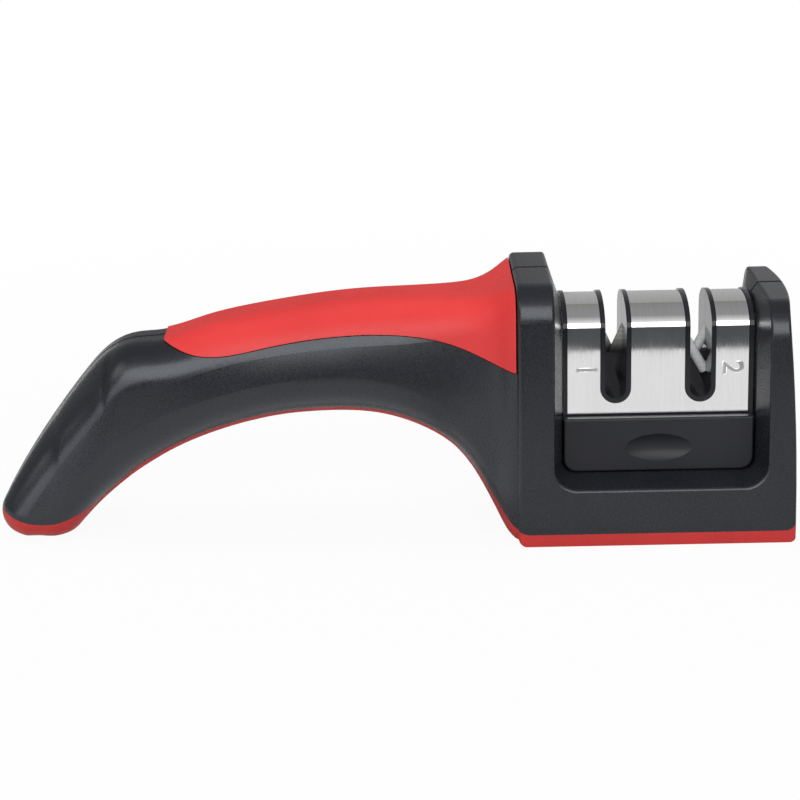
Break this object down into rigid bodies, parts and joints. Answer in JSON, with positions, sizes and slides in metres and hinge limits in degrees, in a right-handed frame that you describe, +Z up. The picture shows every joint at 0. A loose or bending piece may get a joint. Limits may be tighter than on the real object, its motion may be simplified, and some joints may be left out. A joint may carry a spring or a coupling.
{
  "type": "pull through knife sharpener",
  "caption": "Hand-held knife sharpener: arched black handle with red grips, U-shaped frame and a lift-out cartridge with a coarse and a fine slot under a steel cover.",
  "frame": {"origin": "centre of the overall box, on the surface the sharpener stands on", "axes": "+X from the foot of the handle to the frame with the cartridge, +Y through the knife slots from front to back, +Z up"},
  "size_m": [0.1934, 0.049, 0.0635],
  "materials": {
    "black_plastic": "semi-matt black moulded plastic with a fine grain",
    "red_grip": "red soft-touch moulded rubber",
    "red_sole": "red non-slip rubber",
    "cartridge_plastic": "black moulded plastic, slightly glossy",
    "cover_steel": "polished and lightly brushed stainless sheet",
    "carbide": "ground grey carbide",
    "ceramic": "light grey ceramic, slightly glossy",
    "screw_steel": "plated steel"
  },
  "bodies": {
    "housing": {"front_shell": "black_plastic", "rear_shell": "black_plastic", "front_grip": "red_grip", "rear_grip": "red_grip", "sole": "red_sole"},
    "cartridge": {"cartridge_front_half": "cartridge_plastic", "cartridge_rear_half": "cartridge_plastic", "steel_cover": "cover_steel", "coarse_blade_front": "carbide", "coarse_blade_rear": "carbide", "fine_rod_front": "ceramic", "fine_rod_rear": "ceramic", "cartridge_screws": "screw_steel"}
  },
  "joints": [
    {"name": "cartridge_lift", "type": "slide", "parent": "housing", "child": "cartridge", "axis": [0, 0, 1], "range_m": [0, 0.06]}
  ]
}
